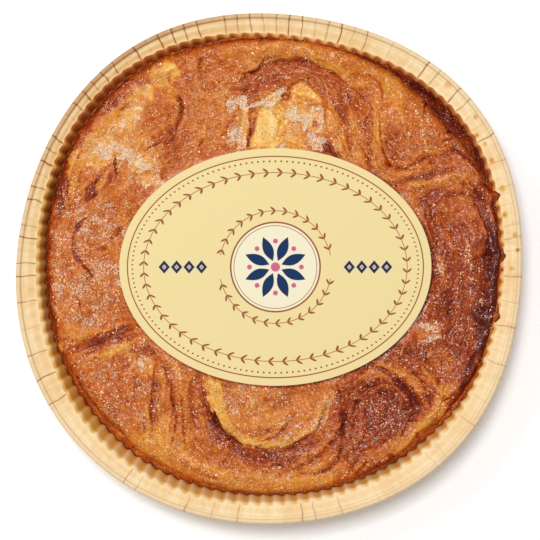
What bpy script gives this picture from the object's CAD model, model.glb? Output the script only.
"""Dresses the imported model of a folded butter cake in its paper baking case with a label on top.

Lengths in the tables below are millimetres, and directions are degrees anticlockwise from +X. The
tables use the cake's own plane coordinates, whose origin is where the camera looks; CENTRE moves
them to the frame, where the origin lies under the middle of the rim.
"""

import bpy
import numpy as np
from bpy.props import FloatProperty, FloatVectorProperty, IntProperty, PointerProperty
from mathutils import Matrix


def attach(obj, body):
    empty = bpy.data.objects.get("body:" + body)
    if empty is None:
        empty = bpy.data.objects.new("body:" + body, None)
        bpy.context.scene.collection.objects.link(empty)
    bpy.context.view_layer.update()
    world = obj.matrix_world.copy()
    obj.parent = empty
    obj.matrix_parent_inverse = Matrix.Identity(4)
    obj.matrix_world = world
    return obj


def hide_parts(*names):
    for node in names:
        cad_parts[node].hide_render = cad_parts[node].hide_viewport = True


bl_info = {
    "name": "Butter Cake Dresser",
    "version": (1, 0, 0),
    "blender": (4, 5, 0),
    "location": "View3D > Sidebar > Butter Cake",
    "description": "Makes the crust, sugar, baking case and label of a folded butter cake",
    "category": "Add Mesh",
}

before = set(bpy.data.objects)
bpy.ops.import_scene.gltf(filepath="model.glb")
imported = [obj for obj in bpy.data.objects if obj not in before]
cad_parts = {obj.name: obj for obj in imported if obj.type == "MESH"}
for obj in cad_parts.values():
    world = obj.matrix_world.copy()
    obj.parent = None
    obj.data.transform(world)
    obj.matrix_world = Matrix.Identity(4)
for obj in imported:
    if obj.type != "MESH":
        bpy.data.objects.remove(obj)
MM = 0.001
TAU = 2.0 * np.pi
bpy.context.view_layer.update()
NO_TRIANGLES = np.zeros((0, 3), dtype=int)

# The card case: radii and heights of its sheet's middle. Its wall's top and its ledge follow the photo
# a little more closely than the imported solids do.
RIM_RADIUS = 95.0
CASE_HEIGHT = 31.0
FOOT_RADIUS = 82.5
FOOT_CORNER = 1.4
WALL_TOP_RADIUS = 87.2
WALL_TOP_HEIGHT = 28.0
LEDGE_INNER_RADIUS = 88.05
LEDGE_HEIGHT = 28.8
ROLL_RADIUS = 0.75
CARD = 0.4
FLUTES = 120
FLUTE_DEPTH = 0.65
FLUTE_SWING = 0.48
TOP_FLUTE_SHARE = 0.6

# The floor's and foot's section: radius, height, share of the flutes. Then the rows of the section up
# the wall and out over the ledge, and the columns of one panel as shares of its width.
FLOOR_SECTION = ((12, 0.2, 0), (60, 0.2, 0), (79, 0.2, 0), (81.1, 0.25, 0.2), (82, 0.7, 0.5))
WALL_ROWS = 14
LEDGE_ROWS = 11
ROLL_ROWS = 13
PANEL_COLUMNS = (-0.5, -0.34, -0.22, -0.09, 0, 0.09, 0.22, 0.34)
FLOOR_HEIGHT = 0.2

# Waves that pull the card out of round: how many go round, their height, a crest's direction
RIM_LOBES = ((4, 1.3, 39), (2, 0.6, 68), (5, 0.4, -32), (1, 0.57, 87))
WALL_LOBES = ((1, 0.85, 114.8), (2, 0.4, -86.7), (3, 0.87, 14.9), (4, 1.5, 41.8), (5, 0.27, -35.5))
FOOT_LOBE_SHARE = 0.35

# The cake's crown and shoulder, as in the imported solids, and the mean radius of its side
CROWN_HEIGHT = 28.2
CROWN_FALL = 1.8
CROWN_RADIUS = 85.0
SHOULDER_DROP = 3.4
SHOULDER_WIDTH = 5.5
SHOULDER_RELIEF = 0.45
EDGE_HEIGHT = CROWN_HEIGHT - CROWN_FALL - SHOULDER_DROP
CAKE_RADIUS = 84.0

# The cake's rim round the case: direction, width of wall shown inside the ledge, width of the cake's own
# side shown inside that, and how far its edge stands above the plain solid's
RIM_PLAN = (
    (0, 0.3, 0.8, 4.4), (2, 0.3, 0.8, 4.4), (3.7, -0.7, 0.3, 4.3), (5.5, 0.3, 1, 4.2), (10, 0.3, 1, 3.8),
    (16.5, 0.6, 1.2, 3.1), (18.2, -1, 0.4, 3), (20, 0.7, 1.4, 2.8), (30, 1.2, 2.4, 1.6), (40, 1.4, 4.2, 1),
    (45, 1.3, 3.9, 0.8), (50, 1.1, 3, 1.2), (60, 0.7, 1.7, 2.2), (75, 0.3, 0.6, 4.2), (90, 0.4, 0.8, 3.8),
    (105, 1.8, 0.6, 1.7), (120, 2.1, 0.4, 1), (135, 2.4, 0.4, 0.8), (165, 2.4, 0.4, 0.8),
    (180, 2.8, 0.4, 0.6), (190, 2.5, 0.5, 0.6), (200, 2.8, 0.8, 0.4), (210, 3.6, 1.5, 0.2),
    (225, 4.2, 2.6, 0), (240, 3.7, 2.3, 0), (255, 3.2, 1.5, 0.2), (270, 3, 0.6, 0.5), (285, 2.5, 0.8, 0.6),
    (300, 2.5, 1.4, 0.6), (315, 2.5, 2, 0.6), (330, 1.1, 1, 2.4), (345, 0.3, 0.6, 4.2),
    (347, 0.3, 0.6, 4.2), (348.7, -0.8, 0.2, 4.2), (350.5, 0.3, 0.6, 4.3),
)
RISE_WIDTH = 9.0
WALL_CLEAR = 0.35
LOWEST_TOUCH = 20.5
HIGHEST_TOUCH = LEDGE_HEIGHT + 1.4

# The label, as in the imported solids
LABEL_CENTRE = (2, 1.1)
LABEL_HALF_LENGTH = 57.7
LABEL_HALF_WIDTH = 43.9
LABEL_GAP = 0.4
LABEL_THICKNESS = 0.35
LABEL_AROUND = 192
PRESS_MARGIN = 3.5

# The label's print: the insets of its border, dots and leaves from the edge, with the number and pitch
# of what repeats; the wreath and its gap at either side; the flower; and the lozenges at either side
BORDER_INSET = 3.0
DOTS_INSET = 4.8
BORDER_DOTS = 150.0
DOT_PITCH = 2.1
LEAVES_INSET = 9.0
BORDER_LEAVES = 56.0
LEAF_PITCH = 5.0
WREATH_RADIUS = 20.8
WREATH_GAP = 4.3
WREATH_LEAVES = 30.0
WREATH_PITCH = 4.3
PETALS = 8.0
PETAL_START = 2.4
PETAL_LENGTH = 9.6
PETAL_HALF_WIDTH = 1.9
BUDS_RADIUS = 9.6
LOZENGES = 4.0
LOZENGE_START = 25.0
LOZENGE_PITCH = 4.6

# Laps along an arc of an ellipse: centre, half width, half height, first and last angle, lift, reach.
# The lip stands inside the arc where the lift is positive, else outside.
ARC_LAPS = (
    ((8, 51), 27.5, 27, 25, 150, -1.3, 7), ((8, 48.5), 15.5, 17.5, 15, 158, -1.7, 6),
    ((51, 50), 11.5, 13, 70, 350, 1.7, 7), ((51, 50), 17.5, 19, 110, 315, 0.9, 4),
    ((51, 50), 24, 25, 140, 265, 0.8, 4), ((0, 0), 80.5, 80.5, -8, 30, 1.3, 6),
    ((42.5, -52), 10.5, 10.5, -80, 190, 1.5, 6), ((42.5, -52), 16, 16.5, -40, 125, 0.9, 4),
    ((42.5, -52), 22.5, 23, -15, 95, 0.8, 4), ((-0.7, -47), 21.5, 19, 165, 368, 1.9, 9),
    ((0, -50), 27.5, 25.5, 272, 380, 1, 5), ((-44, 57), 10.5, 11.5, -75, 75, 1.4, 8),
    ((-52, 44), 15, 18, 50, 175, -0.8, 6),
)

# Laps along a bow through three points, lip on the left from first to last: points, lift, reach
BOW_LAPS = (
    ((-8.8, 41), (-7.4, 52), (-8.8, 63), 1.8, 6), ((-14, 78.5), (-20, 75.6), (-28, 71), 0.9, 4),
    ((84, 38.5), (70, 39.5), (57, 33.5), 0.9, 4), ((84.5, 30), (70, 31.5), (57, 25.5), 0.7, 4),
    ((46, -68), (58.5, -56.5), (66, -42), 1.8, 7), ((-36.3, -64), (-36.8, -48), (-39.5, -31), 0.9, 5),
    ((-44.8, -66), (-44, -47), (-42.2, -32), 1.1, 6), ((-28.2, -59), (-29.2, -47), (-28.8, -37), 0.8, 4),
    ((-44, -20.5), (-60, -26), (-79, -34), 1.6, 7), ((-65, -7), (-69.8, 2.5), (-74, 13), 1, 5),
    ((-70, 24), (-66.5, 29.5), (-62.5, 34.5), 1, 4), ((-74.5, 20), (-74, 34), (-68.5, 46), 1.1, 4),
)
LAP_FADE = 0.22
LAP_EDGE = 0.7
LIP_WIDTH = 1.2
PIT_WIDTH = 1.6
GROOVE_SHARE = 0.45
GROOVE_WIDTH = 1.7
BOW_SAMPLES = 33

# Torn or sunken places: centre, half width, half height, depth
HOLLOWS = (
    ((6, 52), 14, 13, 1.2), ((34, 66), 8, 6, 0.5), ((64, 8), 9, 16, 0.6),
)

# How points wander before a pattern is read there: size, reach and two seeds
WANDER = (9, 1.5, 3, 4)
FINE_WANDER = (2.6, 0.5, 13, 14)
COLOUR_WANDER = (6, 2.2, 21, 22)
FINE_COLOUR_WANDER = (1.9, 0.9, 26, 27)

# Layers of noise: size of a feature, height, seed. The fine ones are finer than the solids hold.
LATTICE = 64
LUMPS = ((15, 0.8, 5), (6.5, 0.45, 6))
FINE_LUMPS = ((3.2, 0.34, 15), (1.6, 0.18, 16), (0.9, 0.1, 17))
FLAKE_EDGE = ((1.5, 0.16, 23), (3.4, 0.2, 24))
SHEET_EDGE = ((0.9, 0.4, 28), (2, 0.5, 29))
SIDE_CRUMBS = ((2.2, 0.5, 35), (1.1, 0.5, 37))

# Strands of torn dough along a lap, size and height of each layer; and thin plates with stepped edges
STRANDS = ((2.6, 0.6), (1.3, 0.45), (0.7, 0.3))
STRAND_STRETCH = 7.0
STRAND_HEIGHT = 0.42
PLATE_SIZE = 5.0
PLATE_STEPS = 3.0
PLATE_HEIGHT = 0.3

# Places with their own colour: centre, half width, half height, turn, browning, sugar, glaze, weight
PATCHES = (
    ((68, 2), 17, 46, 0, 0.74, 0.15, 0.95, 0.85), ((48, -50), 32, 22, 40, 0.74, 0.25, 0.6, 0.8),
    ((-66, 0), 17, 30, 0, 0.5, 0.85, 0.25, 0.85), ((-54, -42), 23, 17, -45, 0.55, 0.62, 0.3, 0.85),
    ((18, 76), 38, 8, -8, 0.45, 0.3, 0.6, 0.8), ((6, 53), 15, 12, 0, 0.3, 0.5, 0.1, 0.95),
    ((29, 48), 4, 12, 14, 0.4, 0.25, 0.5, 0.8), ((51, 50), 13, 14, 0, 0.56, 0.45, 0.35, 0.8),
    ((42.5, 57), 5, 17, -4, 0.4, 0.3, 0.5, 0.6), ((45.5, 46), 4, 6, 0, 0.68, 0.2, 0.5, 0.8),
    ((45.2, 70), 4, 5.5, 0, 0.34, 0.2, 0.6, 0.9), ((39.8, 50), 1.8, 10, 6, 0.28, 0.2, 0.5, 0.8),
    ((66, 34), 15, 7, 12, 0.5, 0.25, 0.7, 0.7), ((-57, 52), 7, 19, -38, 0.33, 0.8, 0.1, 0.85),
    ((-53, 58), 5.5, 7, -20, 0.26, 1.2, 0.1, 0.85), ((-62, 43.5), 4, 8, -30, 0.27, 1.2, 0.1, 0.8),
    ((-47.5, 49), 4.5, 7, 0, 0.36, 0.5, 0.2, 0.7), ((-39, 72.5), 5.5, 5, 30, 0.24, 0.15, 0.5, 0.95),
    ((-47, 66), 4.5, 3.4, 0, 0.2, 1.5, 0, 0.85), ((-49, 40), 11, 8, -35, 0.36, 0.95, 0, 0.65),
    ((-54, 43.5), 4.5, 2.6, -15, 0.26, 1.2, 0, 0.7), ((-48.5, 40), 3.4, 3.6, -30, 0.2, 1.5, 0, 0.8),
    ((-43, 34), 4.4, 2.2, -40, 0.22, 1.5, 0, 0.75), ((-41, 54.5), 7.5, 8, 0, 0.54, 0.3, 0.3, 0.9),
    ((-37.5, 50), 4, 4.5, 0, 0.66, 0.2, 0.4, 0.8), ((-72.6, 35), 1.8, 9, -4, 0.25, 0.5, 0.2, 0.95),
    ((-66.5, 29.5), 1.3, 6, -33, 0.78, 0.1, 0.5, 0.95), ((-20, 56), 13, 11, 0, 0.47, 0.35, 0.35, 0.85),
    ((-13, 54), 4.6, 12, 3, 0.44, 1.2, 0.1, 0.7), ((-2, 66), 9, 3.4, 28, 0.46, 1.1, 0.1, 0.6),
    ((-59, -25), 11, 2.6, 17, 0.68, 0.15, 0.9, 0.9), ((-57, -30.2), 13, 1.7, 17, 0.32, 0.4, 0.3, 0.9),
    ((-46, -36), 5, 3.5, 0, 0.36, 1, 0.1, 0.9), ((-38, -63), 9, 9, 30, 0.36, 0.3, 0.5, 0.8),
    ((-19.5, -49.5), 3.4, 8.5, 8, 0.16, 0.3, 0.4, 0.95), ((-21, -56), 1.8, 3.2, 10, 0.85, 0, 0.4, 0.95),
    ((-3, -50), 16, 9, 0, 0.42, 0.65, 0.3, 0.85), ((3, -47.5), 8, 5.5, 0, 0.58, 0.5, 0.4, 0.8),
    ((19.5, -52), 3, 9.5, -24, 0.33, 0.85, 0.2, 0.9), ((42.8, -52.6), 9.5, 9.5, 0, 0.78, 0.45, 0.45, 0.9),
    ((20.2, -76.4), 3.8, 1.9, 10, 0.46, 0, 1, 1), ((34.2, -72.7), 2.6, 1.6, 20, 0.42, 0, 1, 1),
    ((69, 22.4), 6.5, 5, 0, 0.56, 0.1, 1, 0.85), ((58, -23.2), 5.5, 4, 0, 0.5, 1.2, 0.4, 0.85),
    ((63, -34), 7, 6, -30, 0.52, 0.3, 0.8, 0.7),
)

# Torn flakes, proud where the lift is positive, and windows torn open where it is negative, all with
# ragged crisp edges: centre, half width, half height, turn, browning, sugar, glaze, lift
FLAKES = (
    ((-39.5, 72.5), 5, 4.6, 30, 0.26, 0.3, 0.5, -0.3), ((-37.6, 74.8), 2.4, 1.5, 25, 0.1, 0.6, 0.3, 0.4),
    ((-42.4, 70.6), 1.6, 2.6, -35, 0.38, 0.4, 0.4, -0.2),
    ((-37.4, 70.6), 1.1, 1.9, 10, 0.56, 0.2, 0.4, -0.3), ((-41.8, 75), 1.9, 0.9, 35, 0.44, 0.5, 0.3, 0.2),
    ((-73, 36), 1.7, 9, -4, 0.3, 0.5, 0.2, 0.3), ((-79.5, -28.5), 2.2, 2, 0, 0.2, 0.2, 0.3, 0.5),
    ((-19.8, -48.5), 2.8, 8, 8, 0.2, 0.25, 0.5, -0.3), ((-20.6, -55.8), 1.5, 2.8, 10, 0.9, 0, 0.4, -0.4),
    ((59.5, -56), 3, 8, -42, 0.33, 0.4, 0.4, 0.5), ((50.5, -66), 6, 2.2, 34, 0.34, 0.3, 0.4, 0.4),
)

# The torn top, sheet by sheet: corners of the outline, browning, sugar, glaze, lift
SHEETS = (
    (((-11.1, 64.9), (-9.2, 64.5), (-8.1, 60.8), (-7.7, 55.3), (-8.1, 50.9), (-8.5, 47.9), (-8.8, 45),
     (-11.8, 45), (-12.5, 48.6), (-11.4, 53.1), (-10.7, 57.9), (-11.4, 61.5)), 0.26, 2.4, 0, 0.5),
    (((-8.5, 45.3), (-8.5, 48.6), (-7.4, 51.6), (-5.9, 55.3), (-4.8, 56.7), (-4.8, 54.5), (-5.5, 51.2),
     (-6.3, 48.3), (-7.4, 45.7)), 0.66, 0, 0.3, -0.5),
    (((-8.1, 58.2), (-4.8, 60.1), (-4.8, 56.4), (-6.6, 55.6), (-7.7, 54.5)), 0.38, 0.4, 0.2, -0.1),
    (((4.1, 62.6), (4.4, 65.6), (6.6, 67.4), (9.6, 69.6), (11.4, 70.4), (13.3, 69.3), (17, 66),
     (19.2, 63.8), (19.9, 61.9), (17.7, 60.8), (15.1, 61.2), (11.1, 61.2), (6.6, 61.9)), 0.27, 0, 0.7,
     -0.7),
    (((4.1, 62.6), (4.4, 65.6), (6.6, 67.4), (8.8, 68.9), (7.7, 65.6), (6.6, 63)), 0.56, 0, 0.3, -0.4),
    (((-2.9, 60.4), (0.7, 61.2), (3.7, 61.9), (5.9, 59), (8.1, 54.9), (6.6, 51.2), (5.5, 47.5), (2.9, 45),
     (-8.1, 45), (-7, 48.3), (-5.5, 52.3), (-4.8, 56.7)), 0.05, 0.25, 0.3, -0.3),
    (((0.7, 59), (2.9, 61.2), (5.2, 58.6), (5.5, 54.5), (4.8, 50.9), (3.3, 47.5), (1.1, 47.5), (2.6, 51.6),
     (3.3, 55.3), (1.8, 57.1)), 0.2, 0, 0.6, -0.6),
    (((4.8, 62.3), (7.4, 62.6), (9.9, 61.2), (12.2, 62.3), (15.1, 62.3), (13.3, 59.7), (15.8, 60.8),
     (18.8, 61.2), (20.3, 59.7), (19.5, 56), (19.5, 52.3), (18.4, 50.5), (16.2, 50.9), (13.6, 52.3),
     (11.8, 49), (9.6, 49.4), (7.7, 52.7), (5.2, 57.9)), 0.27, 2.2, 0.05, 0.3),
    (((6.6, 54.5), (9.9, 55.3), (12.2, 52.3), (11.4, 48.3), (8.5, 46.4), (5.2, 46.4), (4.8, 50.1)), 0.32,
     0.5, 0.3, 0.1),
    (((13.3, 52), (17, 50.1), (19.2, 50.1), (21, 47.5), (22.5, 44.6), (18.4, 44.2), (12.5, 45),
     (11.4, 47.2), (12.2, 50.1)), 0.42, 1.9, 0.1, 0.3),
    (((-8.8, 59.7), (-6.6, 61.5), (-3.3, 62.6), (-0.7, 64.9), (1.5, 66), (4.8, 67.4), (7, 67.4),
     (4.8, 65.6), (4.1, 63), (2.9, 61.9), (0.7, 60.4), (-1.1, 59.7), (-2.9, 61.2), (-5.5, 60.4)), 0.18, 1.7,
     0.2, 0.5),
    (((2.2, 45), (3.7, 46.8), (6.6, 47.5), (9.6, 46.8), (10.7, 45)), 0.36, 0.9, 0.1, 0.2),
    (((15.5, 54.9), (16.6, 55.3), (17.7, 54.2), (17.3, 52.7), (15.8, 52.7)), 0.72, 0, 0.5, 0),
    (((20.6, 60.4), (23.2, 59), (25.1, 53.8), (26.9, 47.9), (27.6, 43.5), (24.3, 43.5), (22.5, 47.9),
     (21, 52.3), (20.3, 56.7)), 0.36, 0.4, 0.4, 0.2),
    (((18.8, 46.4), (20.6, 47.5), (22.5, 45.3), (23.2, 43.1), (20.3, 43.9)), 0.74, 0.3, 0.5, -0.1),
)

# Cracks, streaks and lips along a bow through three points: points, half width, browning, sugar, glaze,
# lift
STREAKS = (
    # Above and round the torn top
    ((-11.1, 72.6), (-5.2, 74), (-2.6, 77.6), 0.5, 0.97, 0, 0.3, -0.5),
    ((-3, 77.2), (1.5, 78.7), (5.2, 79.2), 0.35, 0.92, 0, 0.3, -0.4),
    ((9.2, 78.1), (11.1, 78.7), (13.6, 77.2), 0.45, 0.97, 0, 0.3, -0.5),
    ((-12, 74.6), (3.5, 82), (20, 77.5), 2, 0.38, 0.35, 0.7, 0.5),
    ((11, 79.4), (20.3, 76.9), (30, 71.5), 1.2, 0.34, 0.3, 0.7, 0.3),
    ((-12, 67.2), (-7.4, 66), (-3, 67.3), 0.35, 0.86, 0, 0.3, -0.3),
    ((-8, 65), (10, 76.4), (28.7, 55.5), 3.2, 0.62, 0.2, 0.6, 0.3),
    ((20.3, 74.3), (29.5, 68.4), (38.7, 59), 0.35, 0.78, 0.2, 0.5, -0.3),
    ((22.1, 60.8), (24.3, 51.6), (28, 41), 2.4, 0.31, 0.25, 0.6, 0.3),
    ((19.2, 48.2), (22.8, 44.4), (26, 41), 1.9, 0.76, 0.2, 0.5, -0.3),
    ((26.9, 58.2), (28.9, 49.7), (30.4, 40.5), 0.9, 0.68, 0.3, 0.5, -0.2),
    ((29.5, 59.7), (31.7, 51.6), (34, 40), 1.5, 0.36, 0.3, 0.6, 0.3),
    ((35.4, 58), (36.4, 49.7), (37, 38.7), 0.9, 0.66, 0.3, 0.6, -0.2),
    # The swirl at the upper right
    ((38.7, 58.2), (39.8, 49.7), (41.6, 41.3), 1.1, 0.27, 0.2, 0.7, 0.2),
    ((40.7, 55.3), (41.3, 46.1), (43.8, 39.1), 0.4, 0.87, 0, 0.4, -0.4),
    ((43.5, 39.3), (49.7, 38.1), (57.1, 40.7), 0.45, 0.82, 0.1, 0.4, -0.35),
    ((42.4, 37.4), (48.5, 35.8), (59, 38.4), 1, 0.36, 0.2, 0.6, 0.2),
    ((41.8, 62.6), (41.1, 67.1), (38.3, 70.8), 0.4, 0.8, 0.1, 0.4, -0.3),
    ((47, 67.8), (47.9, 62.6), (48.8, 57.8), 2.2, 0.36, 0.2, 0.7, 0.2),
    ((38.5, 74.2), (42, 69.5), (45.2, 64.5), 1.6, 0.35, 0.2, 0.6, 0.3),
    ((56.8, 58.6), (57.4, 60.8), (58.6, 62.8), 0.5, 0.95, 0, 0.3, -0.5),
    ((55, 40.3), (57.5, 41.4), (59.6, 42.2), 0.45, 0.95, 0, 0.3, -0.5),
    ((54.5, 42.2), (59, 44.6), (65, 44.6), 1.3, 0.38, 0.3, 0.6, 0.3),
    ((64.9, 50.9), (67.1, 51.4), (69.5, 51.6), 0.5, 0.95, 0, 0.3, -0.5),
    ((64.7, 47.5), (66.3, 48.4), (68.4, 48.8), 0.5, 0.95, 0, 0.3, -0.5),
    ((66, 44.4), (71.5, 42.6), (76, 38.2), 0.6, 0.92, 0, 0.5, -0.4),
    ((47.5, 33), (58, 34.8), (69, 37.4), 0.9, 0.78, 0.2, 0.9, -0.3),
    ((47.9, 30.4), (62, 32.2), (75.5, 34.2), 1.5, 0.4, 0.3, 0.7, 0.3),
    ((57.1, 27), (64.5, 28.6), (73.7, 27.4), 1.5, 0.74, 0.1, 1, -0.2),
    ((47.9, 28), (53.2, 24.2), (57, 18), 1.9, 0.45, 0.85, 0.4, 0.2),
    # The glossy right side
    ((76.6, 29.2), (78.6, 25.8), (79.4, 22.1), 1.3, 0.86, 0.1, 0.8, -0.3),
    ((79.8, 20.8), (82, 14.7), (83.4, 7.2), 0.6, 0.98, 0, 0.4, -0.5),
    ((80.8, 30), (83.4, 20.3), (84.6, 9.6), 1.1, 0.78, 0.3, 0.6, 0.4),
    ((78.4, 3), (81.1, 2.8), (83.9, 3.8), 0.9, 0.93, 0, 0.5, -0.5),
    ((75.2, -4), (78, -10.3), (81.3, -13.2), 1.6, 0.74, 0.5, 0.5, 0.3),
    ((71, 14), (73.5, 8), (74.5, 0), 1.2, 0.6, 0.9, 0.5, 0.3),
    ((62.5, 6), (63, 1), (64.5, -4), 1.1, 0.55, 0.9, 0.6, 0.3),
    ((66, -6), (67, -13), (66.5, -20), 1.5, 0.8, 0.1, 1, -0.3),
    # The mound at the lower right
    ((31.3, -52), (38.5, -43.6), (47.4, -50), 1.2, 0.86, 0.3, 0.5, -0.3),
    ((48.6, -47.6), (51.2, -52.3), (50.8, -56.4), 1.5, 0.9, 0.1, 0.9, -0.5),
    ((38, -61.7), (42.4, -63), (46.6, -59.5), 1.6, 0.74, 0.3, 0.6, -0.2),
    ((33, -40.8), (39.8, -38.5), (46.5, -42.6), 1.3, 0.45, 0.4, 0.4, 0.2),
    ((34.8, -36.6), (42.4, -37), (47.4, -43.4), 0.7, 0.76, 0.3, 0.5, -0.3),
    ((42, -34.6), (49.7, -38.4), (55.6, -46.4), 1.2, 0.42, 0.5, 0.4, 0.3),
    ((46, -41.4), (51, -46), (54.6, -50.4), 1, 0.82, 0.2, 0.6, -0.3),
    ((49.7, -34.6), (55.5, -40.5), (61.8, -45.2), 0.7, 0.82, 0.2, 0.6, -0.3),
    ((55.3, -35.4), (59, -39.4), (61.8, -43.4), 0.8, 0.4, 0.2, 0.6, 0.2),
    ((66.6, -42), (64.1, -47.9), (62.4, -53), 1.3, 0.33, 0.4, 0.4, 0.6),
    ((62.8, -52.4), (58.2, -55.2), (54.2, -60.2), 1.2, 0.31, 0.4, 0.4, 0.6),
    ((73.9, -32.5), (74.4, -38.7), (69.6, -44.6), 1.7, 0.86, 0.1, 0.9, -0.4),
    ((76.8, -29), (73.9, -35), (72.2, -40.2), 0.9, 0.97, 0, 1, -0.3),
    # The fold at the bottom
    ((-22.4, -39.5), (-20.4, -48.5), (-13.5, -59.5), 2.8, 0.22, 0.5, 0.4, 0.4),
    ((-15, -58), (-4.4, -64.6), (7, -61.6), 2.5, 0.35, 0.6, 0.3, 0.4),
    ((4, -62.4), (14.2, -56.8), (20.6, -45.8), 2.6, 0.38, 0.9, 0.3, 0.4),
    ((-11.6, -60.4), (-3, -62.4), (4, -58), 0.9, 0.36, 0.3, 0.5, 0.2),
    ((-3.4, -63.2), (3.2, -60.4), (9.4, -53), 0.45, 0.76, 0.3, 0.4, -0.3),
    ((-22.7, -52), (-21.2, -54.6), (-19.4, -56.4), 1, 0.88, 0, 0.3, -0.6),
    ((-20.6, -57.4), (-14.9, -62.2), (-10.6, -65.6), 1.7, 0.78, 0.1, 0.8, -0.2),
    ((-14.7, -62.4), (-6, -68.6), (5, -67.2), 2.2, 0.78, 0.2, 0.9, -0.3),
    ((24.8, -41.8), (26.9, -55), (26.4, -66), 0.9, 0.88, 0.1, 0.6, -0.5),
    ((26.5, -65.4), (22.6, -73.2), (14.4, -75.4), 0.6, 0.88, 0, 0.5, -0.5),
    ((25, -66.6), (20.6, -71.8), (12.4, -73.2), 1, 0.35, 0.5, 0.4, 0.3),
    ((-24.5, -73), (-11.1, -77.6), (4, -79.2), 2, 0.38, 0.3, 0.8, 0.3),
    ((31.5, -76.5), (34.1, -73), (36.9, -70.6), 0.5, 0.84, 0, 0.9, -0.4),
    # The folds at the lower left
    ((-42.4, -34.6), (-43.7, -46.1), (-44.2, -63), 0.45, 0.68, 0, 0.4, -0.1),
    ((-40.4, -32.6), (-37.2, -42.4), (-36, -50.2), 0.9, 0.68, 0.2, 0.6, -0.1),
    ((-36.1, -49.5), (-34.8, -56.5), (-37, -67), 0.45, 0.78, 0, 0.5, -0.3),
    ((-41.5, -32.8), (-39.6, -40.5), (-40.4, -48.2), 0.8, 0.38, 0.3, 0.5, 0.3),
    ((-41, -58.5), (-38.9, -66), (-32.6, -73.2), 2, 0.33, 0.2, 0.7, 0.3),
    ((-38.6, -31.6), (-33.9, -39), (-33, -48.6), 1, 0.4, 0.7, 0.3, 0.3),
    ((-36.4, -33.4), (-34.4, -36.4), (-33.2, -40.2), 0.9, 0.34, 1, 0.1, 0.2),
    ((-33.2, -45.6), (-32.2, -55.3), (-31.6, -67), 0.5, 0.78, 0.1, 0.5, -0.3),
    ((-26, -40.2), (-24.2, -49.7), (-22.4, -56), 1.6, 0.7, 0.2, 0.6, -0.2),
    ((-34, -70), (-26.5, -74.6), (-18, -77.4), 1, 0.58, 0.1, 1, 0.1),
    ((-68.4, -31.6), (-60.8, -26.8), (-53, -25), 1.4, 0.78, 0.2, 0.9, -0.3),
    ((-63, -32.4), (-56, -29.6), (-51, -26.6), 0.5, 0.27, 0.2, 0.5, 0.5),
    ((-52, -30.4), (-46.1, -29.3), (-42.2, -31.7), 1.9, 0.7, 0.3, 0.4, 0),
    # The left side
    ((-68.9, 27.1), (-66.5, 30.2), (-63.6, 33.7), 0.8, 0.93, 0, 0.5, -0.5),
    ((-64.7, 29.3), (-62.3, 31.6), (-59.8, 33.4), 1.3, 0.33, 0.2, 0.7, 0.2),
    ((-62.8, 29), (-60.2, 32), (-58.8, 35.4), 0.7, 0.76, 0.1, 0.6, -0.2),
    ((-76.6, 36), (-76.4, 27.6), (-78.1, 19.5), 1.6, 0.8, 0.3, 0.7, 0),
    ((-68, 19.4), (-71.5, 15.5), (-73, 10.8), 0.9, 0.86, 0.1, 0.6, -0.3),
    ((-73.1, 9.4), (-71.9, 5.3), (-69.8, 2.6), 0.8, 0.88, 0.1, 0.5, -0.4),
    ((-70, 3.2), (-67.8, 0), (-65.4, -3), 0.35, 0.84, 0.1, 0.4, -0.35),
    ((-59.2, 10.8), (-56.8, 13.7), (-54.7, 15.8), 0.9, 0.76, 0.3, 0.4, -0.1),
    ((-64.7, 8.3), (-62.3, 7.5), (-61, 9.4), 0.8, 0.78, 0.2, 0.4, -0.2),
    ((-71.6, -9), (-70.8, -11.8), (-69.9, -14.4), 0.4, 0.84, 0.1, 0.4, -0.3),
    ((-76, -20), (-71.9, -23.4), (-66, -23.4), 2.3, 0.35, 0.3, 0.3, 0.4),
    # The upper left
    ((-35.2, 66.4), (-32.6, 58), (-38.6, 47.6), 0.45, 0.88, 0, 0.4, -0.45),
    ((-46.3, 44), (-44.2, 45.8), (-39.2, 47), 0.4, 0.88, 0, 0.3, -0.4),
    ((-57.5, 42), (-57.2, 38.7), (-57.1, 34.6), 0.4, 0.93, 0, 0.3, -0.4),
    ((-55, 60.5), (-65, 49.5), (-70.2, 38.4), 2.6, 0.27, 0.55, 0.2, 0.3),
    ((-37.8, 68.6), (-36, 65.6), (-34.7, 62.8), 1.6, 0.3, 0.1, 0.7, 0.2),
    ((-27.8, 43.6), (-25.8, 47.9), (-24.6, 52), 1.5, 0.33, 0.2, 0.6, 0.2),
    ((-26, 45.6), (-25.4, 47.4), (-24.9, 48.9), 0.5, 0.85, 0, 0.4, -0.4),
    ((-26.6, 74.2), (-25.8, 77.4), (-23.8, 79.4), 0.45, 0.84, 0, 0.4, -0.3),
)

# Places that follow an arc: centre, first and last angle, inner and outer radius, browning, sugar,
# glaze, weight; and the browning, sugar and glaze of the plain crust
BANDS = (
    ((8, 50), 5, 150, 18, 26.5, 0.64, 0.2, 0.45, 0.85),
    ((0, 0), 222, 292, 75.5, 83.5, 0.34, 0.35, 0.5, 0.85), ((0, 0), 295, 330, 77, 82, 0.4, 0.5, 0.4, 0.7),
    ((0, 0), -24, 12, 79, 88, 0.95, 0.1, 0.9, 0.95), ((0, 0), 120, 205, 81, 90, 0.7, 0.4, 0.4, 0.8),
    ((-0.7, -47), 182, 300, 16.5, 20, 0.3, 0.6, 0.3, 0.85),
    ((-0.7, -47), 190, 330, 21, 26, 0.7, 0.35, 0.6, 0.85),
    ((42.5, -52), 15, 115, 14.5, 17.5, 0.4, 0.4, 0.5, 0.7),
    ((42.5, -52), 0, 110, 11, 13.5, 0.82, 0.2, 0.8, 0.8),
    ((42.5, -52), 300, 372, 17, 22, 0.36, 0.5, 0.4, 0.7),
)
BASE_TONE = (0.54, 0.28, 0.4)

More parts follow.
